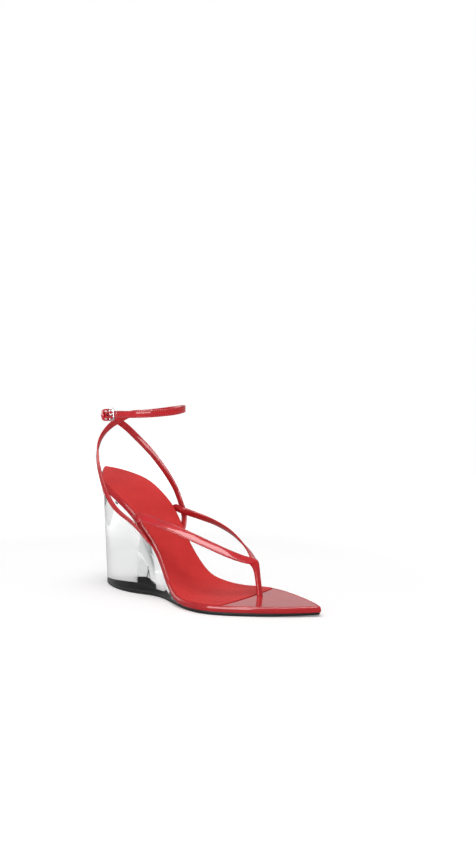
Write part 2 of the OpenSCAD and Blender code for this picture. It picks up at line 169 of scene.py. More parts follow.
def outline(outer, inner):
    """Two edges from heel to toe, with matching points, that meet in rounded tips."""
    loop = np.vstack([even(curve(outer), 0.6), even(curve(inner), 0.6)[::-1][1:]])
    for _ in range(TIP_PASSES):
        beside = 0.5 * (np.roll(loop[:-1], 1, 0) + np.roll(loop[:-1], -1, 0))
        loop[:-1] += 0.5 * (beside - loop[:-1])
        loop[-1] = loop[0]
    heel = int(np.argmin(loop[:-1, 0]))
    loop = np.vstack([np.roll(loop[:-1], -heel, 0), loop[heel]])
    toe = int(np.argmax(loop[:, 0]))
    sides = []
    for side in (loop[:toe + 1], loop[toe:][::-1]):
        along = lengths(side)
        at = np.linspace(0, along[-1], EDGE_ROWS)
        sides.append(np.column_stack([np.interp(at, along, side[:, i]) for i in range(2)]))
    return sides


def inset(sides, distance):
    """Both edges moved into the shape by that distance, without crossing each other."""
    moved = []
    for side, turn in zip(sides, (-1, 1)):
        moved.append(side + rightward(side) * turn * distance)
    outer, inner = moved
    crossed = outer[:, 1] > inner[:, 1]
    middle = 0.5 * (outer + inner)
    outer[crossed] = middle[crossed]
    inner[crossed] = middle[crossed]
    for side in moved:
        low, high = sides[0][:, 0].min() + distance, sides[0][:, 0].max() - distance
        side[:, 0] = np.maximum.accumulate(np.clip(side[:, 0], low, high))
    return moved


insole_edges = outline(INSOLE_OUTER, INSOLE_INNER)
base_edges = outline(BASE_OUTER, BASE_INNER)


def edge_y(sides, x):
    """Where the outer and the inner edge lie at x."""
    return [np.interp(x, side[:, 0], side[:, 1]) for side in sides]


# ---- Meshes -------------------------------------------------------------------------------
def add_object(name, data):
    made = bpy.data.objects.new(name, data)
    bpy.context.scene.collection.objects.link(made)
    return made


def clean_mesh(name, points, faces):
    """A mesh from points in mm, without doubles and with its faces turned outward."""
    mesh = bpy.data.meshes.new(name)
    mesh.from_pydata([tuple(MM * c for c in p) for p in points], [], faces)
    work = bmesh.new()
    work.from_mesh(mesh)
    bmesh.ops.remove_doubles(work, verts=work.verts, dist=1e-6)
    bmesh.ops.dissolve_degenerate(work, edges=work.edges, dist=1e-6)
    bmesh.ops.recalc_face_normals(work, faces=work.faces)
    work.to_mesh(mesh)
    work.free()
    return mesh


def piece(name, points, faces, material, body, slot, replaced=(), sharp=35):
    """A named mesh object from points in mm, smooth but for edges over the sharp angle."""
    made = add_object(name, clean_mesh(name, points, faces))
    finish_piece(made, material, body, replaced, sharp)
    return made


def shade(made, sharp):
    made.data.shade_smooth()
    made.data.set_sharp_from_angle(angle=math.radians(sharp))


def finish_piece(made, material, body, replaced=(), sharp=35):
    """Material, shading, and what the piece moves with, is sorted under and replaces."""
    made.data.materials.clear()
    made.data.materials.append(material)
    shade(made, sharp)
    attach(made, body)
    if replaced:
        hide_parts(*replaced)


def loft(rings, closed_ends=True):
    """Points and faces of a tube through rings of equal length."""
    n, m = len(rings), len(rings[0])
    points = [p for ring in rings for p in ring]
    faces = [(i * m + k, i * m + (k + 1) % m, (i + 1) * m + (k + 1) % m, (i + 1) * m + k)
             for i in range(n - 1) for k in range(m)]
    if closed_ends:
        faces += [tuple(range(m)), tuple(range((n - 1) * m, n * m))]
    return points, faces


def bake(made):
    """Applies the object's modifiers to its mesh."""
    bpy.context.view_layer.update()
    evaluated = made.evaluated_get(bpy.context.evaluated_depsgraph_get())
    done = bpy.data.meshes.new_from_object(evaluated)
    made.modifiers.clear()
    old = made.data
    made.data = done
    bpy.data.meshes.remove(old)


SLAB_COLUMNS = 28


def slab(sides, top, bottom, edge_profile):
    """A layer cut to an outline. edge_profile is the edge from the top down, as (inset, level), where
    level goes from 0 at the top to 1 at the bottom."""
    rows = len(sides[0])
    outer_cols, inner_cols = [], []
    for distance, level in edge_profile:
        outer, inner = inset(sides, distance)
        for side, cols in ((outer, outer_cols), (inner, inner_cols)):
            z = top(side[:, 0]) + (bottom(side[:, 0]) - top(side[:, 0])) * level
            cols.append(np.column_stack([side, z]))
    across = np.linspace(0, 1, SLAB_COLUMNS + 1)[1:-1]
    rings = []
    for i in range(rows):
        top_row = outer_cols[0][i] + (inner_cols[0][i] - outer_cols[0][i]) * across[:, None]
        top_row[:, 2] = top(top_row[:, 0])
        bottom_row = inner_cols[-1][i] + (outer_cols[-1][i] - inner_cols[-1][i]) * across[:, None]
        bottom_row[:, 2] = bottom(bottom_row[:, 0])
        rings.append([c[i] for c in outer_cols[::-1]] + list(top_row) + [c[i] for c in inner_cols]
                     + list(bottom_row))
    return loft(rings)


# ---- Material nodes -----------------------------------------------------------------------
class Nodes:
    """A material's node tree, with short calls for the nodes it uses."""

    def __init__(self, name):
        self.material = bpy.data.materials.new(name)
        self.material.use_nodes = True
        self.tree = self.material.node_tree
        self.shader = self.tree.nodes["Principled BSDF"]
        self.place = self.add("ShaderNodeTexCoord").outputs["Object"]

    def add(self, kind, **settings):
        node = self.tree.nodes.new(kind)
        for key, value in settings.items():
            setattr(node, key, value)
        return node

    def link(self, a, b):
        self.tree.links.new(a, b)

    def set(self, **values):
        for key, value in values.items():
            self.shader.inputs[key.replace("_", " ")].default_value = value

    def noise(self, scale, detail=3.0, rough=0.5, place=None):
        node = self.add("ShaderNodeTexNoise")
        node.inputs["Scale"].default_value = scale
        node.inputs["Detail"].default_value = detail
        node.inputs["Roughness"].default_value = rough
        self.link(place or self.place, node.inputs["Vector"])
        return node.outputs["Fac"]

    def cells(self, scale, feature="DISTANCE_TO_EDGE"):
        node = self.add("ShaderNodeTexVoronoi", feature=feature)
        node.inputs["Scale"].default_value = scale
        self.link(self.place, node.inputs["Vector"])
        return node.outputs["Distance"]

    def between(self, fac, low, high, steps=(0.3, 0.7)):
        """A colour or number that goes from low to high as fac passes the two steps."""
        ramp = self.add("ShaderNodeValToRGB")
        for stop, at, value in zip(ramp.color_ramp.elements, steps, (low, high)):
            stop.position = at
            stop.color = (*value, 1) if hasattr(value, "__len__") else (value, value, value, 1)
        self.link(fac, ramp.inputs["Fac"])
        return ramp.outputs["Color"]

    def math(self, operation, a, b):
        node = self.add("ShaderNodeMath", operation=operation)
        for socket, value in zip(node.inputs, (a, b)):
            if isinstance(value, (int, float)):
                socket.default_value = value
            else:
                self.link(value, socket)
        return node.outputs["Value"]

    def bump(self, height, depth_mm, strength=1.0, under=None):
        node = self.add("ShaderNodeBump")
        node.inputs["Strength"].default_value = strength
        node.inputs["Distance"].default_value = depth_mm * MM
        self.link(height, node.inputs["Height"])
        if under is not None:
            self.link(under, node.inputs["Normal"])
        self.link(node.outputs["Normal"], self.shader.inputs["Normal"])
        return node.outputs["Normal"]


def patent_leather(name, deep, bright, gloss=0.05, ripple=0.03):
    """Lacquered leather: a clear coat over a base whose grain is nearly filled."""
    m = Nodes(name)
    m.link(m.between(m.noise(60, 4), deep, bright), m.shader.inputs["Base Color"])
    m.link(m.between(m.noise(900, 3), 0.4, 0.55), m.shader.inputs["Roughness"])
    m.set(Specular_IOR_Level=0.1, Coat_Weight=1.0, Coat_Roughness=gloss, Coat_IOR=1.42)
    slow = m.bump(m.noise(120, 2), ripple, 0.5)
    m.link(m.bump(m.cells(1400), 0.004, 0.3, slow), m.shader.inputs["Coat Normal"])
    return m.material


def nappa_leather(name, deep, bright):
    """Matt leather with a fine pebbled grain."""
    m = Nodes(name)
    m.link(m.between(m.noise(45, 5, 0.6), deep, bright), m.shader.inputs["Base Color"])
    m.link(m.between(m.noise(420, 3), 0.5, 0.64), m.shader.inputs["Roughness"])
    m.set(Specular_IOR_Level=0.15, Sheen_Weight=0.02, Sheen_Roughness=0.45)
    wide = m.bump(m.noise(240, 3), 0.05, 0.5)
    m.bump(m.cells(1500), 0.05, 0.6, wide)
    return m.material


def thread(name, deep, bright):
    """Bonded thread with a twist along each stitch, in the colours given. It also makes the dark dots that
    paint the shade in the needle holes.
    """
    m = Nodes(name)
    m.link(m.between(m.noise(1800, 2), deep, bright), m.shader.inputs["Base Color"])
    m.link(m.between(m.noise(2600, 2), 0.4, 0.6), m.shader.inputs["Roughness"])
    m.set(Specular_IOR_Level=0.4)
    m.bump(m.noise(5200, 1), 0.03, 0.8)
    return m.material


def black_rubber(name):
    """Black rubber with a fine stipple."""
    m = Nodes(name)
    m.link(m.between(m.noise(90, 5, 0.6), (0.006, 0.006, 0.007), (0.016, 0.016, 0.017)),
           m.shader.inputs["Base Color"])
    m.link(m.between(m.noise(500, 3), 0.34, 0.5), m.shader.inputs["Roughness"])
    m.set(Specular_IOR_Level=0.45)
    stipple = m.bump(m.noise(2600, 2), 0.03, 0.6)
    m.bump(m.noise(300, 4), 0.04, 0.4, stipple)
    return m.material


def matt_black(name):
    """What the acrylic's glued foot shows through it: black, without a shine of its own."""
    m = Nodes(name)
    m.link(m.between(m.noise(120, 4), (0.030, 0.030, 0.031), (0.044, 0.044, 0.045)),
           m.shader.inputs["Base Color"])
    m.set(Roughness=0.9, Specular_IOR_Level=0.0)
    return m.material


def clear_acrylic(name):
    """Polished clear plastic with a trace of smoke, and faint flow lines in its surface."""
    m = Nodes(name)
    m.set(Base_Color=(1, 1, 1, 1), Transmission_Weight=1.0, IOR=1.49, Specular_IOR_Level=0.5)
    m.link(m.between(m.noise(40, 3), 0.0, 0.03), m.shader.inputs["Roughness"])
    m.bump(m.noise(28, 2), 0.05, 0.5)
    absorb = m.add("ShaderNodeVolumeAbsorption")
    absorb.inputs["Color"].default_value = (0.735, 0.75, 0.746, 1)
    absorb.inputs["Density"].default_value = 14.0
    m.link(absorb.outputs["Volume"], m.tree.nodes["Material Output"].inputs["Volume"])
    return m.material


def polished_metal(name, tone, gloss=(0.07, 0.16), scratch=0.004):
    """Plated metal: fine hairlines and a slight unevenness of polish."""
    m = Nodes(name)
    dull = tuple(0.9 * t for t in tone)
    m.link(m.between(m.noise(500, 3), dull, tone), m.shader.inputs["Base Color"])
    m.link(m.between(m.noise(900, 4), *gloss), m.shader.inputs["Roughness"])
    m.set(Metallic=1.0)
    hair = m.add("ShaderNodeMapping")
    hair.inputs["Scale"].default_value = (1, 1, 14)
    m.link(m.place, hair.inputs["Vector"])
    m.bump(m.noise(1500, 3, 0.5, hair.outputs["Vector"]), scratch, 0.5)
    return m.material


def fibrous(name, deep, bright, rough=(0.7, 0.9), scale=300, depth=0.08):
    """Board, cork and foam: a speckled, broken surface."""
    m = Nodes(name)
    specks = m.math("MULTIPLY", m.noise(scale, 6, 0.7), m.cells(scale * 2.4, "F1"))
    m.link(m.between(specks, deep, bright, (0.1, 0.5)), m.shader.inputs["Base Color"])
    m.link(m.between(m.noise(scale * 0.5, 3), *rough), m.shader.inputs["Roughness"])
    m.bump(specks, depth, 0.7)
    return m.material


patent = patent_leather("patent_red", (0.46, 0.010, 0.016), (0.56, 0.016, 0.022))
strap_patent = patent_leather("strap_patent", (0.56, 0.010, 0.017), (0.68, 0.018, 0.026), 0.06, 0.02)
lining_leather = patent_leather("lining_red", (0.46, 0.011, 0.016), (0.57, 0.018, 0.024), 0.12, 0.02)
sock_leather = nappa_leather("sock_red", (0.62, 0.027, 0.026), (0.72, 0.040, 0.038))
# The thread's own red, made paler and pinker than the straps' so that it also paints the highlights on the
# stitches
stitch_thread_and_highlight = thread("stitch_red_and_highlight", (0.62, 0.050, 0.056), (0.76, 0.085, 0.090))
# Dark red painted as the shade inside the needle holes, on dots set between the stitches
painted_hole_shade = thread("painted_hole_shade", (0.075, 0.002, 0.004), (0.115, 0.004, 0.006))
rubber = black_rubber("sole_black")
glue = matt_black("glue_black")
acrylic = clear_acrylic("acrylic_clear")
chrome = polished_metal("buckle_silver", (0.93, 0.93, 0.94), (0.1, 0.22))
steel = polished_metal("shank_steel", (0.55, 0.56, 0.58), (0.25, 0.4), 0.01)
brass = polished_metal("rivet_brass", (0.72, 0.55, 0.28), (0.2, 0.35), 0.01)
board = fibrous("insole_board", (0.30, 0.20, 0.11), (0.46, 0.33, 0.20))
cork = fibrous("filler_dark", (0.05, 0.045, 0.04), (0.10, 0.09, 0.08), (0.6, 0.8))
foam = fibrous("foam_pale", (0.68, 0.64, 0.54), (0.80, 0.77, 0.68), (0.85, 0.95), 700, 0.15)
nylon = fibrous("core_nylon", (0.66, 0.63, 0.58), (0.78, 0.75, 0.70), (0.45, 0.6), 900, 0.02)

CARRIED = {
    "heel_screws": steel, "insole_board": board, "shank": steel, "shank_rivets": brass,
    "bottom_filler": cork, "foam_pad": foam, "post_core": nylon, "post_anchor": nylon,
    "buckle_bar": chrome,
}
for node_name, material in CARRIED.items():
    nodes[node_name].data.materials.clear()
    nodes[node_name].data.materials.append(material)


# ---- Sole ---------------------------------------------------------------------------------
def insole_underside(x):
    return seat_z(x) - INSOLE_T / np.cos(seat_slope(x))


def rounded_top(radius, thickness, steps):
    """A quarter round at an edge's top, from the top down, as (inset, level)."""
    quarter = [math.pi / 2 * i / steps for i in range(steps + 1)]
    return [(radius * (1 - math.sin(a)), radius * (1 - math.cos(a)) / thickness) for a in quarter]


def rounded_bottom(radius, thickness, steps):
    """A quarter round at an edge's bottom, from the top down, as (inset, level)."""
    quarter = [math.pi / 2 * i / steps for i in range(steps + 1)]
    return [(radius * (1 - math.cos(a)), 1 - radius * (1 - math.sin(a)) / thickness) for a in quarter]


# The insole's edge from the top down, as (inset, depth): a fine groove, then a rounded bead
BEAD_W, BEAD_H = 1.5, 2.8
BEAD_RISE = 0.1
BEAD = [(3.0, 0), (2.5, 0.02), (2.25, 0.12), (2.05, 0.3), (1.9, 0.22), (1.75, 0.02), (BEAD_W, -BEAD_RISE)]
BEAD += [(BEAD_W * (1 - math.sin(a)), BEAD_H * (1 - math.cos(a)) - BEAD_RISE)
         for a in np.linspace(0, math.pi / 2, 10)[1:]]


def make_insole():
    """The patent leather wrapped round the insole, with a bead along its top edge."""
    edge = [(distance, depth / INSOLE_T) for distance, depth in BEAD] + rounded_bottom(1.0, INSOLE_T, 6)
    piece("insole_patent", *slab(insole_edges, seat_z, insole_underside, edge),
          patent, "sandal", "patent_red", ["insole_cover"], 60)


SOCK_INSET = 1.7
SOCK_RISE = 0.75 * SOCK_T  # the rest of its thickness is sunk in the insole
SOCK_ARC = (-137.6, -45, 277)  # centre x, centre y and radius of the sock's front edge


def make_sock():
    """The matt lining from heel to ball, its front edge a shallow arc."""
    sides = inset(insole_edges, SOCK_INSET)
    heel_x = sides[0][:, 0].min() + 0.05
    columns = np.linspace(0, 1, 41)
    rows = np.linspace(0, 1, 190) ** 1.25  # closer together at the heel
    points = []
    for v in columns:
        front_y = 0.0
        for _ in range(12):  # closes in on the place where this column meets the arc
            front_x = SOCK_ARC[0] + math.sqrt(SOCK_ARC[2] ** 2 - (front_y - SOCK_ARC[1]) ** 2)
            outer_y, inner_y = edge_y(sides, front_x)
            front_y = outer_y + (inner_y - outer_y) * v
        x = heel_x + (front_x - heel_x) * rows
        outer_y, inner_y = edge_y(sides, x)
        y = outer_y + (inner_y - outer_y) * v
        points.append(np.column_stack([x, y, seat_z(x) + SOCK_RISE]))
    n, m = len(columns), len(rows)
    flat = [tuple(points[i][j]) for i in range(n) for j in range(m)]
    faces = [(i * m + j, i * m + j + 1, (i + 1) * m + j + 1, (i + 1) * m + j)
             for i in range(n - 1) for j in range(m - 1)]
    made = piece("sock_leather", flat, faces, sock_leather, "sandal", "sock_red", ["sock_lining"])
    if made.data.polygons[len(made.data.polygons) // 2].normal.z < 0:
        made.data.flip_normals()
    thick = made.modifiers.new("thick", "SOLIDIFY")
    thick.thickness = SOCK_T * MM
    thick.offset = -1
    rounded = made.modifiers.new("rounded", "BEVEL")
    rounded.width = 0.3 * MM
    rounded.segments = 3
    rounded.limit_method = "ANGLE"
    rounded.angle_limit = math.radians(50)
    bake(made)
    finish_piece(made, sock_leather, "sandal")


# Where the sole's top face lies: just inside the wedge's foot, then just under the insole
INTO_WEDGE = 0.02
UNDER_INSOLE = 0.01


def make_outsole():
    """The black sole. Its face is dull black where it shows through the wedge."""
    def under(x):
        return TOE_SPRING * np.clip((x - FLAT_END) / (TOE_TIP[0] - FLAT_END), 0, None) ** 2

    def over(x):
        return np.where(x < WEDGE_FRONT, OUTSOLE_T + INTO_WEDGE, insole_underside(x) - UNDER_INSOLE)

    edge = rounded_top(0.35, OUTSOLE_T, 4) + rounded_bottom(0.7, OUTSOLE_T, 4)
    made = piece("outsole_black", *slab(base_edges, over, under, edge),
                 rubber, "sandal", "black_sole", ["outsole"], 60)
    made.data.materials.append(glue)
    for face in made.data.polygons:
        if face.center.z > OUTSOLE_T * MM and face.center.x < WEDGE_FRONT * MM:
            face.material_index = 1


WEDGE_BACK_TOP = -28.6
WEDGE_BACK_BASE = -24.2
TOP_INSET = 0.8  # from the insole's edge
BASE_INSET = 0.2  # from the outsole's edge
LEAST_HEIGHT = 0.3
RIM_DEPTH = 7.0
RIM_SHARE = 0.42  # of the wedge's height at most
RIM_STEP = 1.3
STEP_SHARES = (0.18, 0.3)  # of the wedge's width and of the rim's depth at most
EASE_IN, EASE_DOWN = 0.25, 0.3  # the rim's softened top edge
SIDE_HOLLOW = 2.2  # 1 would be straight
SIDE_LEVELS = 26


def wedge_ring(s):
    """One station of the wedge, down its outer side and up its inner: an upright rim, a small step in,
    and a side that sweeps in to the narrow base."""
    x_top = WEDGE_BACK_TOP + s * (WEDGE_FRONT - WEDGE_BACK_TOP)
    x_base = WEDGE_BACK_BASE + s * (WEDGE_FRONT - WEDGE_BACK_BASE)
    z_top = max(float(insole_underside(x_top)) - GLUE, OUTSOLE_T + LEAST_HEIGHT)
    rim = min(RIM_DEPTH, RIM_SHARE * (z_top - OUTSOLE_T))
    top_y = [y + turn * TOP_INSET for y, turn in zip(edge_y(insole_edges, x_top), (1, -1))]
    base_y = [y + turn * BASE_INSET for y, turn in zip(edge_y(base_edges, x_base), (1, -1))]
    step = min(RIM_STEP, STEP_SHARES[0] * (top_y[1] - top_y[0]), STEP_SHARES[1] * rim)
    z_below = z_top - rim - step
    sides = []
    for top, base, turn in zip(top_y, base_y, (1, -1)):
        side = [(x_top, top + turn * EASE_IN, z_top), (x_top, top, z_top - min(EASE_DOWN, 0.2 * rim))]
        side += [(x_top, top, z_top - rim * k / 4) for k in (1, 2, 3)]
        for a in np.linspace(0, math.pi / 2, 6):
            side.append((x_top, top + turn * step * (1 - math.cos(a)), z_top - rim - step * math.sin(a)))
        for t in np.linspace(1, 0, SIDE_LEVELS)[1:]:
            side.append((x_base + (x_top - x_base) * t,
                         base + (top + turn * step - base) * t ** SIDE_HOLLOW,
                         OUTSOLE_T + (z_below - OUTSOLE_T) * t))
        sides.append(side)
    return sides[0] + sides[1][::-1]


def make_wedge():
    """The clear block under the heel and the arch."""
    rings = [wedge_ring(s) for s in np.linspace(0, 1, 121)]
    piece("wedge_acrylic", *loft(rings), acrylic, "sandal", "clear_acrylic", ["wedge"], 40)


# ---- Straps -------------------------------------------------------------------------------
TUCK = INSOLE_T - STRAP_T


def tucked(x, y):
    """A knot of a strap's hidden end, flat under the board."""
    slope = float(seat_slope(x))
    return (x + TUCK * math.sin(slope), y, float(seat_z(x)) - TUCK * math.cos(slope),
            math.sin(slope), 0, -math.cos(slope))


THONG_JOINT = (133.2, 10.8, 32)
# Each knot is a place and the way the strap's outer face looks
JOINT_KNOT = (*THONG_JOINT, 0.8, 0, 1)
OUTER_THONG = [
    tucked(36, -17), tucked(39.5, -23), (39.8, -27.8, 58.6, -0.3, -1, -0.5),
    (43.5, -29.7, 60.6, 0, -1, 0), (48, -30.7, 61.8, 0.2, -1, 0.2), (54, -31.3, 62.1, 0.2, -1, 0.5),
    (61.7, -31, 61, 0.2, -1, 0.9), (70.1, -29, 58.9, 0.2, -1, 1.2), (78.2, -26.1, 56.5, 0.2, -1, 1.2),
    (86.2, -23, 53.7, 0.3, -1, 1.2), (94, -19.7, 50.6, 0.3, -1, 1.2), (101.5, -16, 47.3, 0.4, -0.9, 1.2),
    (108.7, -11.9, 43.9, 0.4, -0.8, 1.1), (115.6, -7.3, 40.3, 0.5, -0.7, 1),
    (122.2, -2.2, 36.9, 0.5, -0.6, 1), (128.4, 3.9, 33.8, 0.6, -0.4, 1), JOINT_KNOT,
]
INNER_THONG = [
    tucked(30, 8), tucked(33, 14.2), (34.4, 18.7, 62.4, -0.3, 1, -0.4), (37, 18.9, 63.9, 0, 1, 0),
    (41, 19, 62.9, 0, 1, 0), (46, 20, 61.5, 0, 1, 0), (53, 23.5, 59.2, 0.1, 1, 0.2),
    (61.5, 27.6, 56.3, 0.1, 1, 0.35), (70, 29.9, 53.7, 0.2, 1, 0.6), (80, 31, 50.3, 0.2, 1, 0.7),
    (90, 30.2, 46.8, 0.3, 1, 0.8), (101, 27.2, 42.6, 0.4, 1, 0.9), (112, 22.9, 38.7, 0.4, 0.8, 1),
    (121, 18, 35.6, 0.5, 0.6, 1), (128, 13.4, 33.3, 0.6, 0.3, 1), JOINT_KNOT,
]
POST_FOOT = (139.6, 8.2, 7)

# The buckle's own axes: u along the strap to the toe, n away from the leg, w up the bar
BAR_AT = np.array([13.2, -29.2, 140.6])
PITCH, TURN = math.radians(4), math.radians(20)
U_DIR = np.array([math.cos(PITCH) * math.cos(TURN), -math.cos(PITCH) * math.sin(TURN), math.sin(PITCH)])
N_DIR = np.array([-math.sin(TURN), -math.cos(TURN), 0])
W_DIR = np.cross(U_DIR, -N_DIR)
WIRE_R = 0.8
FRAME_LEN = 8.5
RAIL_GAP = 0.95  # from the ankle band to the frame's sides
RAIL_W = ANKLE_W / 2 + RAIL_GAP + WIRE_R
FOLD_R = 1.8
FOLD_BACK = 0.8
# How far from the bar the ankle band's line runs, with a small clearance each time
OVER_FOLD = FOLD_R + LINING_T + 0.3
OVER_TAB = STRAP_T + FOLD_BACK + LINING_T + 0.15
UNDER_RIM = WIRE_R + STRAP_T + 0.25
STRAIGHT_BACK = -10.6
TIP_END = -12
KEEPER_LEN = 4.2
KEEPER_WALL = 1.3
KEEPER_GAP = 0.3
KEEPER_SLACK = 0.8  # to each side of the straps
KEEPER_FRONT = -2.8
KEEPER_R = 2.25
# The room that the prong needs in the band and in the fold, as two corners in (u, n, w)
BAND_SLOT = ((-1.3, -3, -0.95), (6, 6, 0.95))
FOLD_SLOT = ((-2.4, -6, -1.15), (4, 6, 1.15))


def at_buckle(u, n):
    """A knot in the buckle's middle plane, looking away from the leg."""
    return (*(BAR_AT + u * U_DIR + n * N_DIR), *N_DIR)


def by_buckle(u, n, w):
    """A place in the buckle's axes."""
    return BAR_AT + u * U_DIR + n * N_DIR + w * W_DIR


LOOP_AT = (28, -4.5, 141.5)
LOOP_HALF_LEN, LOOP_HALF_W = 35, 27
FRONT_RISE, FAR_RISE, TWIST = 0.07, 0.05, 0.002


def loop_point(degrees):
    """A knot of the ankle loop: an ellipse, higher at its front and far side, and twisted a little."""
    a = math.radians(degrees)
    x, y = LOOP_HALF_LEN * math.cos(a), LOOP_HALF_W * math.sin(a)
    return (LOOP_AT[0] + x, LOOP_AT[1] + y,
            LOOP_AT[2] + FRONT_RISE * x + TWIST * x * y + FAR_RISE * max(0, y),
            math.cos(a) / LOOP_HALF_LEN, math.sin(a) / LOOP_HALF_W, 0)


ANKLE_BAND = [
    tucked(59, -13), tucked(59, -20), (56.2, -26.4, 42, -0.5, -1, -0.7),
    (53, -28.8, 46.9, -0.4, -1, -0.6), (47, -30.2, 52.8, -0.3, -1, -0.5),
    (40.3, -32.6, 58.8, -0.3, -1, -0.5), (34.1, -36.2, 64, -0.2, -1, -0.4),
    (28.8, -39.4, 70.1, -0.1, -1, -0.3), (24.3, -41.3, 77.6, -0.1, -1, -0.1),
    (20.3, -41.9, 85.5, -0.2, -1, 0), (16.2, -41.5, 93.5, -0.3, -1, 0), (11.8, -40.1, 101.3, -0.4, -1, 0),
    (7.5, -37.4, 108.7, -0.6, -1, 0.1), (3.4, -33.1, 115.6, -1, -0.9, 0.1),
    (0, -27.2, 121.8, -1, -0.6, 0.2), (-2.6, -19.6, 127.3, -1, -0.4, 0.2),
    (-4.2, -11.6, 131.6, -1, -0.2, 0.1), (-5, -3.6, 134.6, -1, -0.1, 0),
    *[loop_point(a) for a in range(154, -79, -22)],
    at_buckle(FRAME_LEN + 5, -UNDER_RIM - 0.2), at_buckle(FRAME_LEN, -UNDER_RIM),
    at_buckle(FRAME_LEN / 2, (OVER_FOLD - UNDER_RIM) / 2), at_buckle(0.4, OVER_FOLD),
    at_buckle(-2.4, OVER_TAB + 0.1), at_buckle(-5.5, OVER_TAB), at_buckle(STRAIGHT_BACK, OVER_TAB),
    at_buckle(TIP_END, OVER_TAB),
]
BUCKLE_SLING = [
    tucked(51, 2), tucked(51, 9), (48.8, 14.6, 47.9, -0.4, 1, -0.4),
    (46.8, 18.6, 51.8, -0.3, 1, 0), (44.7, 21.3, 56, -0.1, 1, 0), (42.7, 22.3, 61, -0.1, 1, 0),
    (40.2, 22.5, 66.4, 0, 1, 0), (36.4, 23.2, 72.4, 0, 1, 0), (30.8, 24.2, 79.7, 0, 1, 0),
    (25.1, 23.9, 86.8, -0.1, 1, 0), (19.3, 23, 93.7, -0.2, 1, 0), (13.3, 21.8, 100.3, -0.3, 1, 0),
    (7.1, 20.4, 106.7, -0.5, 1, 0.1), (1, 18.2, 113, -0.7, 1, 0.1), (-4.6, 14.9, 119.3, -0.9, 0.9, 0.2),
    (-9.2, 10.6, 125.7, -1, 0.6, 0.3), (-12.1, 4.6, 131.4, -1, 0.2, 0.2),
    (-12.6, -2.8, 135.2, -1, -0.1, 0.1),
    (-10.2, -10.4, 137.7, -1, -0.4, 0), (-5.2, -17.2, 139, -1, -0.8, 0), (-0.4, -21.8, 139.5, -0.6, -1, 0),
    at_buckle(STRAIGHT_BACK, 0), at_buckle(-6, 0), at_buckle(-FOLD_R, 0),
]


class Route:
    """A strap's line at an even spacing, with its direction, outer face and width direction."""

    def __init__(self, knots, spacing=0.7, passes=10):
        k = np.array(knots, float)
        k[:, 3:] = unit(k[:, 3:])
        line = eased(even(curve(k), spacing), passes)
        self.at = line[:, :3]
        self.along = unit(np.gradient(self.at, axis=0))
        out = line[:, 3:]
        self.out = unit(out - np.sum(out * self.along, 1)[:, None] * self.along)
        self.side = np.cross(self.along, self.out)
        self.reach = lengths(self.at)

    def frame_at(self, distance):
        """Place, direction, side and outer face at a distance along the route."""
        found = [np.array([np.interp(distance, self.reach, a[:, i]) for i in range(3)])
                 for a in (self.at, self.along, self.side, self.out)]
        return [found[0], *[unit(v) for v in found[1:]]]

    def ring(self, i, profile):
        """A section round the route's point i, from (across, height) pairs."""
        return [self.at[i] + self.side[i] * across + self.out[i] * height for across, height in profile]


GROOVE_IN = 0.85  # from a strap's edge to the groove that its stitches lie in
STITCH_HEIGHT = 0.86 * STRAP_T
STITCH_R = 0.42
STITCH_SHARE = 0.56  # of the pitch
STITCH_SUNK = 0.12
# The dark dots painted as the needle holes' shade: their length, and how deep they sink
HOLE_LEN = 0.85
HOLE_SUNK = 0.66  # in hole radii
LINING_IN = 0.2  # from a strap's edge to its lining's
TIP_LEAST = 0.12  # of the width, at the end of a rounded tip

# Where stitching starts, how far before the route's end it stops, its pitch, and the radius of the dark dots
# painted as the needle holes' shade
THONG_SEWN = (12, 9, 1.9, 0.66)
BAND_SEWN = (12, 2, 1.6, 0.48)
SLING_SEWN = (12, 3, 1.6, 0.48)


def strap_profile(width):
    """Section of a folded strap: rolled edges, a sewn groove beside each, and a low crown."""
    half = width / 2
    right = [
        (0, 1.10), (half - 1.9, 1.07), (half - 1.25, 1.0), (half - GROOVE_IN, 0.84), (half - 0.5, 1.0),
        (half - 0.22, 0.93), (half - 0.06, 0.72), (half, 0.45), (half - 0.07, 0.2), (half - 0.3, 0.03),
    ]
    over = [(x, h * STRAP_T) for x, h in right]
    left = [(-x, h) for x, h in over[:0:-1]]
    return over + [(0, 0)] + left


def lining_profile(width):
    """Section of a strap's lining, with rounded edges."""
    half = width / 2
    under = [(half, -0.1), (half - 0.05, -0.7), (half - 0.25, -1), (0, -1.04),
             (0.25 - half, -1), (0.05 - half, -0.7), (-half, -0.1), (0, 0.1)]
    return [(x, h * LINING_T) for x, h in under]


def bead(centre, along, side, out, length, radius, lift):
    """A small rounded body, lying along a strap."""
    lengthwise = [(-0.5, 0.25, -0.16), (-0.36, 0.8, 0.0), (0, 1, 0.07), (0.36, 0.8, 0.0), (0.5, 0.25, -0.16)]
    return loft([[centre + along * step * length + out * (rise + lift)
                  + radius * size * (math.cos(a) * side + math.sin(a) * out)
                  for a in np.arange(6) * math.pi / 3] for step, size, rise in lengthwise])


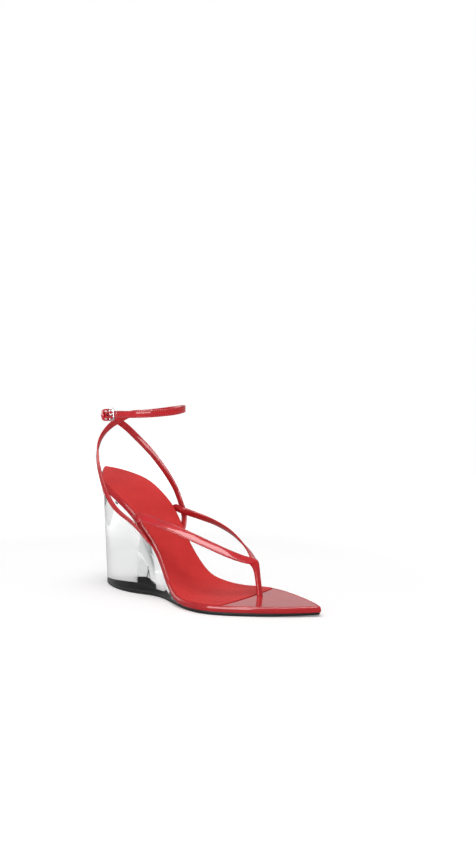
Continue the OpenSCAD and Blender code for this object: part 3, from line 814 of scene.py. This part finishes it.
def make_stitches(name, route, width, start, end, pitch, hole):
    """A row of single stitches beside each edge of a strap, with a dark dot between them painted as the shade
    of a needle hole. hole is the dots' radius."""
    # The step, length, radius and lift of each stitch, and of the dark dot after it, painted as a needle
    # hole's shade
    pair = ((0, STITCH_SHARE * pitch, STITCH_R, -STITCH_SUNK), (pitch / 2, HOLE_LEN, hole, -HOLE_SUNK * hole))
    points, faces, hole_shade_faces = [], [], []
    for turn in (-1, 1):
        for s in np.arange(start, end, pitch):
            for step, length, radius, lift in pair:
                at, along, side, out = route.frame_at(s + step)
                centre = at + side * turn * (width / 2 - GROOVE_IN) + out * STITCH_HEIGHT
                p, f = bead(centre, along, side, out, length, radius, lift)
                faces += [tuple(i + len(points) for i in face) for face in f]
                hole_shade_faces += [step > 0] * len(f)
                points += p
    # The stitches take the thread red that is paled to paint their highlights as well
    made = piece(name, points, faces, stitch_thread_and_highlight, "sandal", "patent_red", (), 80)
    # The dots take the dark red painted as the needle holes' shade
    made.data.materials.append(painted_hole_shade)
    made.data.polygons.foreach_set("material_index", hole_shade_faces)


def make_strap(name, lining_name, knots, width, replaced, lining_replaced, sewn, tip=False, short=0.0):
    """A strap's patent face, its lining and its stitching. tip rounds the strap's end, and short is how
    far before the route's end it stops."""
    route = Route(knots)
    count = int(np.searchsorted(route.reach, route.reach[-1] - short)) + 1
    scale = np.ones(count)
    if tip:
        left = np.clip((route.reach[-1] - route.reach) / (width / 2), 0, 1)
        scale = np.maximum(np.sqrt(1 - (1 - left) ** 2), TIP_LEAST)

    def run(profile):
        return loft([route.ring(i, [(x * scale[i], h) for x, h in profile]) for i in range(count)])

    face = piece(name, *run(strap_profile(width)),
                 strap_patent, "sandal", "patent_red", [replaced], 50)
    lining = piece(lining_name, *run(lining_profile(width - 2 * LINING_IN)),
                   lining_leather, "sandal", "lining_red", [lining_replaced], 50)
    make_stitches(name + "_stitches", route, width, sewn[0], route.reach[-1] - sewn[1], *sewn[2:])
    return face, lining


YOKE_BACK = 11  # how far before the joint the yoke starts
BLEND_BACK = 7  # how far before the joint a strap starts to turn into the post
BLEND_LEN = 9.5
YOKE_COVER = 0.12  # to each side of a strap
YOKE_HALF_T, YOKE_LIFT = 0.86, 0.25  # round a strap and its lining
POST_HALF_W, POST_HALF_T = 2.4, 1.7
POST_LOOKS = (1, 0, 0.25)
POST_SUNK = 1.2  # into the insole
POST_BOW, BOW_FADE = np.array([0.5, -0.1, 0]), 6  # the bow under the joint fades on the way down
INNER_BEND_W = 4.4


def yoke_branch(knots, width, passes):
    """One strap's last stretch, blended into the post."""
    joint = np.array(THONG_JOINT)
    post = unit(np.array(POST_FOOT) - joint)
    down = [joint + post * d + POST_BOW * math.exp(-d / BOW_FADE) for d in (2.6, 7, 13, 19)]
    tail = [(*p, *POST_LOOKS) for p in (*down, np.array(POST_FOOT) + post * POST_SUNK)]
    route = Route([*knots[-5:], *tail], 0.5, passes)
    near = route.reach[int(np.argmin(np.linalg.norm(route.at - joint, axis=1)))]
    rings = []
    for i in range(int(np.searchsorted(route.reach, near - YOKE_BACK)), len(route.at)):
        t = np.clip((route.reach[i] - (near - BLEND_BACK)) / BLEND_LEN, 0, 1)
        t = t * t * (3 - 2 * t)
        half_w = (width / 2 + YOKE_COVER) * (1 - t) + POST_HALF_W * t
        half_t = YOKE_HALF_T * (1 - t) + POST_HALF_T * t
        lift = YOKE_LIFT * (1 - t)
        rings.append(route.ring(i, [(across, lift + out) for across, out in oval(half_w, half_t, 0.7)]))
    return loft(rings)


def make_yoke():
    """The two thong straps run together and turn down into the toe post, as one smooth piece. A third,
    narrower branch cuts the corner and fills the inside of the bend."""
    points, faces = [], []
    for knots, width, passes in ((OUTER_THONG, THONG_W, 30), (INNER_THONG, THONG_INNER_W, 30),
                                 (OUTER_THONG, INNER_BEND_W, 320)):
        p, f = yoke_branch(knots, width, passes)
        faces += [tuple(i + len(points) for i in face) for face in f]
        points += p
    made = piece("toe_yoke", points, faces, strap_patent, "sandal", "patent_red", ["toe_post"], 80)
    skin = made.modifiers.new("skin", "REMESH")
    skin.mode = "VOXEL"
    skin.voxel_size = 0.26 * MM
    soft = made.modifiers.new("soft", "SMOOTH")
    soft.factor = 0.5
    soft.iterations = 12
    bake(made)
    finish_piece(made, strap_patent, "sandal", (), 180)


# ---- Buckle -------------------------------------------------------------------------------
def sweep(path, section):
    """A tube of that section along a path in the buckle's plane. Each path point is (u, w), and each
    section point is (away from the middle of the frame, away from the leg)."""
    path = np.array(path, float)
    return loft([[by_buckle(p[0] + n[0] * a, b, p[1] + n[1] * a) for a, b in section]
                 for p, n in zip(path, rightward(path))])


FRAME_CORNER = 2.0


def make_buckle():
    """A polished frame with rounded corners, and an eye at each end of its bar."""
    r = FRAME_CORNER
    path = [*[(u, -RAIL_W) for u in (-0.2, 1.5, 3, 4.5)],
            *arc(FRAME_LEN - r, -RAIL_W + r, r, -90), (FRAME_LEN, -1.2), (FRAME_LEN, 1.2),
            *arc(FRAME_LEN - r, RAIL_W - r, r, 0), *[(u, RAIL_W) for u in (4.5, 3, 1.5, -0.2)]]
    points, faces = sweep(path, oval(WIRE_R, WIRE_R * 0.92))
    # Half the section of an eye, as (along the bar, away from it)
    eye = [(0.5, 0.0), (0.5, 0.95), (0.35, 1.2), (0.0, 1.38), (-0.35, 1.2), (-0.5, 0.95), (-0.5, 0.0)]
    for turn in (-1, 1):
        rings = [[by_buckle(d * math.cos(a), d * math.sin(a), turn * RAIL_W + w) for w, d in eye]
                 for a in np.arange(25) * 2 * math.pi / 24]
        p, f = loft(rings, False)
        faces += [tuple(i + len(points) for i in face) for face in f]
        points += p
    piece("buckle_rim", points, faces, chrome, "buckle", "buckle_metal", ["buckle_frame"], 50)


def make_prong():
    """A tapered pin, curled round the bar and resting on the front rim."""
    rest = WIRE_R + 0.64  # the height of its middle where it lies on the rim
    line = [(0, -1.35), (-1.15, -0.8), (-1.3, 0.2), (-0.7, 1.15), (0.4, 1.45), (2.2, 1.42),
            (FRAME_LEN - 1.5, rest + 0.02), (FRAME_LEN + 0.3, rest), (FRAME_LEN + 1.2, rest - 0.12)]
    path = even(curve(line, 10), 0.25)
    along = lengths(path) / lengths(path)[-1]
    rings = []
    for p, n, s in zip(path, -rightward(path), along):
        tip = min(1, 0.35 + 12 * (1 - s))  # rounds its end
        wide = (0.85 - 0.3 * s) * tip
        thick = (0.5 if s < 0.35 else 0.56) * tip  # thinner in the curl
        rings.append([by_buckle(p[0] + n[0] * b, p[1] + n[1] * b, a)
                      for a, b in oval(wide, thick, 0.9, 14)])
    piece("prong_pin", *loft(rings), chrome, "prong", "buckle_metal", ["buckle_prong"], 60)


def cut_box(made, low, high):
    """Cuts a box, given by two corners in the buckle's (u, n, w), out of a piece."""
    corners = [by_buckle(u, n, w) for u in (low[0], high[0]) for n in (low[1], high[1])
               for w in (low[2], high[2])]
    sides = [(0, 1, 3, 2), (4, 6, 7, 5), (0, 4, 5, 1), (2, 3, 7, 6), (0, 2, 6, 4), (1, 5, 7, 3)]
    cutter = add_object("cutter", clean_mesh("cutter", corners, sides))
    cut = made.modifiers.new("cut", "BOOLEAN")
    cut.object = cutter
    cut.operation = "DIFFERENCE"
    bake(made)
    bpy.data.objects.remove(cutter)
    shade(made, 50)


def make_fold():
    """The buckle strap's end, turned round the bar and back on itself."""
    mid = (FOLD_R + WIRE_R) / 2 + 0.05
    half = (FOLD_R - WIRE_R) / 2 - 0.08
    tab = STRAP_T + FOLD_BACK / 2
    line = [(-1.2, -0.55), *arc(0, 0, mid, -120, 14, 210),
            (-1.6, tab + 0.05), (-3, tab), (-6, tab), (-9, tab)]
    path = even(curve(line, 6), 0.3)
    edge = ANKLE_W / 2
    section = [(edge, 0), (edge - 0.08, 0.7), (edge - 0.35, 1), (0, 1.05), (0.35 - edge, 1),
               (0.08 - edge, 0.7), (-edge, 0), (0.08 - edge, -0.7), (0.3 - edge, -1), (edge - 0.3, -1),
               (edge - 0.08, -0.7)]
    rings = [[by_buckle(p[0] + n[0] * b * half, p[1] + n[1] * b * half, a) for a, b in section]
             for p, n in zip(path, -rightward(path))]
    made = piece("fold_wrap", *loft(rings), strap_patent, "sandal", "patent_red", ["bar_fold"], 50)
    cut_box(made, *FOLD_SLOT)


def make_keeper():
    """A loop of folded leather that slides on the two straps and holds the free end."""
    low, high = -LINING_T - KEEPER_GAP, OVER_TAB + STRAP_T + KEEPER_GAP
    half = ANKLE_W / 2 + KEEPER_SLACK
    middle = (low + high) / 2
    size_n, size_w = (high - low) / 2 + KEEPER_WALL / 2, half + KEEPER_WALL / 2
    path = np.array([p for cn, cw, start in ((1, 1, 0), (-1, 1, 90), (-1, -1, 180), (1, -1, 270))
                     for p in arc(cn * (size_n - KEEPER_R), cw * (size_w - KEEPER_R), KEEPER_R, start, 6)])
    section = oval(KEEPER_LEN / 2, KEEPER_WALL / 2, 0.45, 28)
    rings = [[by_buckle(KEEPER_FRONT - KEEPER_LEN / 2 + a, middle + p[0] + n[0] * b, p[1] + n[1] * b)
              for a, b in section] for p, n in zip(path, rightward(path, True))]
    rings.append(rings[0])
    piece("keeper_band", *loft(rings, False), strap_patent, "keeper", "patent_red", ["keeper_loop"], 60)


THONG_SHORT = 4  # the thong straps' ends are inside the yoke

make_insole()
make_sock()
make_outsole()
make_wedge()
make_strap("thong_outer", "thong_outer_lining", OUTER_THONG, THONG_W,
           "thong_strap_outer", "thong_lining_outer", THONG_SEWN, short=THONG_SHORT)
make_strap("thong_inner", "thong_inner_lining", INNER_THONG, THONG_INNER_W,
           "thong_strap_inner", "thong_lining_inner", THONG_SEWN, short=THONG_SHORT)
ankle_band = make_strap("ankle_band", "ankle_band_lining", ANKLE_BAND, ANKLE_W,
                        "ankle_strap", "ankle_strap_lining", BAND_SEWN, tip=True)
make_strap("buckle_sling", "buckle_sling_lining", BUCKLE_SLING, ANKLE_W,
           "buckle_strap", "buckle_strap_lining", SLING_SEWN)
for layer in ankle_band:
    cut_box(layer, *BAND_SLOT)
make_yoke()
make_fold()
make_keeper()
make_buckle()
make_prong()


# ---- Studio -------------------------------------------------------------------------------
BEHIND = (-0.6, 0.68, 0.42)  # past the shoe, and a little up
FLOOR_HALF = 0.9
SHOE_MIDDLE = (0.08, 0, 0.05)
CAMERA_AT = (0.7013, -0.6117, 0.1873)
CAMERA_YAW, CAMERA_PITCH = math.radians(133.27), math.radians(-3.43)
CAMERA_ROLL = -0.004


def make_floor():
    """White paper that glows a little, more so further out, where it meets the background."""
    h = FLOOR_HALF
    mesh = bpy.data.meshes.new("floor")
    mesh.from_pydata([(-h, -h, 0), (h, -h, 0), (h, h, 0), (-h, h, 0)], [], [(0, 1, 2, 3)])
    floor = add_object("floor", mesh)
    m = Nodes("floor_paper")
    m.link(m.between(m.noise(3, 2), (0.86, 0.86, 0.86), (0.88, 0.88, 0.88)), m.shader.inputs["Base Color"])
    m.set(Roughness=0.85, Specular_IOR_Level=0.0, Emission_Color=(1, 1, 1, 1))
    away = m.add("ShaderNodeVectorMath", operation="LENGTH")
    m.link(m.place, away.inputs[0])
    far = m.math("MULTIPLY", away.outputs["Value"], 0.5)
    m.link(m.between(far, 0.2, 0.72, (0.12, 0.4)), m.shader.inputs["Emission Strength"])
    mesh.materials.append(m.material)
    floor.visible_glossy = False  # so that gloss shows the room and its highlights stay clear


def area_light(name, at, size, power, gloss):
    """A soft lamp that looks at the shoe. One for gloss shows only in highlights, and others only light."""
    lamp = bpy.data.lights.new(name, "AREA")
    lamp.shape = "RECTANGLE"
    lamp.size, lamp.size_y = size
    lamp.energy = power
    holder = add_object(name, lamp)
    holder.location = at
    holder.rotation_euler = (Vector(SHOE_MIDDLE) - Vector(at)).to_track_quat("-Z", "Y").to_euler()
    holder.visible_diffuse = not gloss
    holder.visible_transmission = not gloss
    holder.visible_glossy = gloss


def make_world():
    """A white studio. Matt surfaces are lit evenly by it. Gloss reflects a room that is brighter behind
    the shoe and dim elsewhere, so that the lamps stand out. What the clear wedge shows is white low down
    and overhead, and grey between."""
    world = bpy.data.worlds.new("studio")
    bpy.context.scene.world = world
    world.use_nodes = True
    tree = world.node_tree
    add, link = tree.nodes.new, tree.links.new
    direction = add("ShaderNodeTexCoord").outputs["Generated"]
    path = add("ShaderNodeLightPath")

    def grey(axis, stops):
        """Greys by how far a ray points along an axis, as (cosine, value) in rising order."""
        dot = add("ShaderNodeVectorMath")
        dot.operation = "DOT_PRODUCT"
        dot.inputs[1].default_value = axis
        link(direction, dot.inputs[0])
        ramp = add("ShaderNodeValToRGB")
        ramp_stops = ramp.color_ramp.elements
        for at, _ in stops[1:-1]:
            ramp_stops.new(at)
        for stop, (at, value) in zip(ramp_stops, stops):
            stop.position = at
            stop.color = (value, value, value, 1)
        link(dot.outputs["Value"], ramp.inputs["Fac"])
        return ramp.outputs["Color"]

    def choose(ray, yes, no):
        """One colour for that kind of ray and another for the rest."""
        mix = add("ShaderNodeMix")
        mix.data_type = "RGBA"
        link(path.outputs[ray], mix.inputs["Factor"])
        for socket, value in ((mix.inputs["A"], no), (mix.inputs["B"], yes)):
            if isinstance(value, float):
                socket.default_value = (value, value, value, 1)
            else:
                link(value, socket)
        return mix.outputs["Result"]

    gloss = grey(BEHIND, [(0.0, 0.3), (0.84, 0.3), (0.9, 0.36), (0.95, 0.6), (1.0, 0.66)])
    seen_through = grey((0, 0, 1), [(0.0, 1.0), (0.15, 0.9), (0.45, 0.35), (1.0, 1.0)])
    lit = choose("Is Glossy Ray", gloss, 0.5)
    clear = choose("Is Transmission Ray", seen_through, lit)
    link(choose("Is Camera Ray", 1.0, clear), tree.nodes["Background"].inputs["Color"])


def make_camera():
    """The photo's view."""
    lens = bpy.data.cameras.new("camera")
    lens.lens = 48.04
    lens.sensor_width = 36
    lens.clip_end = 50
    camera = add_object("camera", lens)
    forward = Vector((math.cos(CAMERA_YAW) * math.cos(CAMERA_PITCH),
                      math.sin(CAMERA_YAW) * math.cos(CAMERA_PITCH), math.sin(CAMERA_PITCH)))
    turn = forward.to_track_quat("-Z", "Y").to_matrix() @ Matrix.Rotation(CAMERA_ROLL, 3, "Z")
    camera.matrix_world = Matrix.Translation(CAMERA_AT) @ turn.to_4x4()
    bpy.context.scene.camera = camera


make_floor()
make_world()
area_light("overhead", (0.2, -0.3, 1.6), (0.9, 0.9), 13, gloss=False)
area_light("top_box", (0.6, -0.4, 1.5), (1.1, 0.75), 27, gloss=True)
area_light("rim_box", (0.3, -1.15, 0.58), (0.9, 0.85), 20, gloss=True)
area_light("left_box", (-1.5, -0.25, 0.4), (0.8, 0.7), 4, gloss=True)
make_camera()
bpy.context.scene.view_settings.view_transform = "Standard"
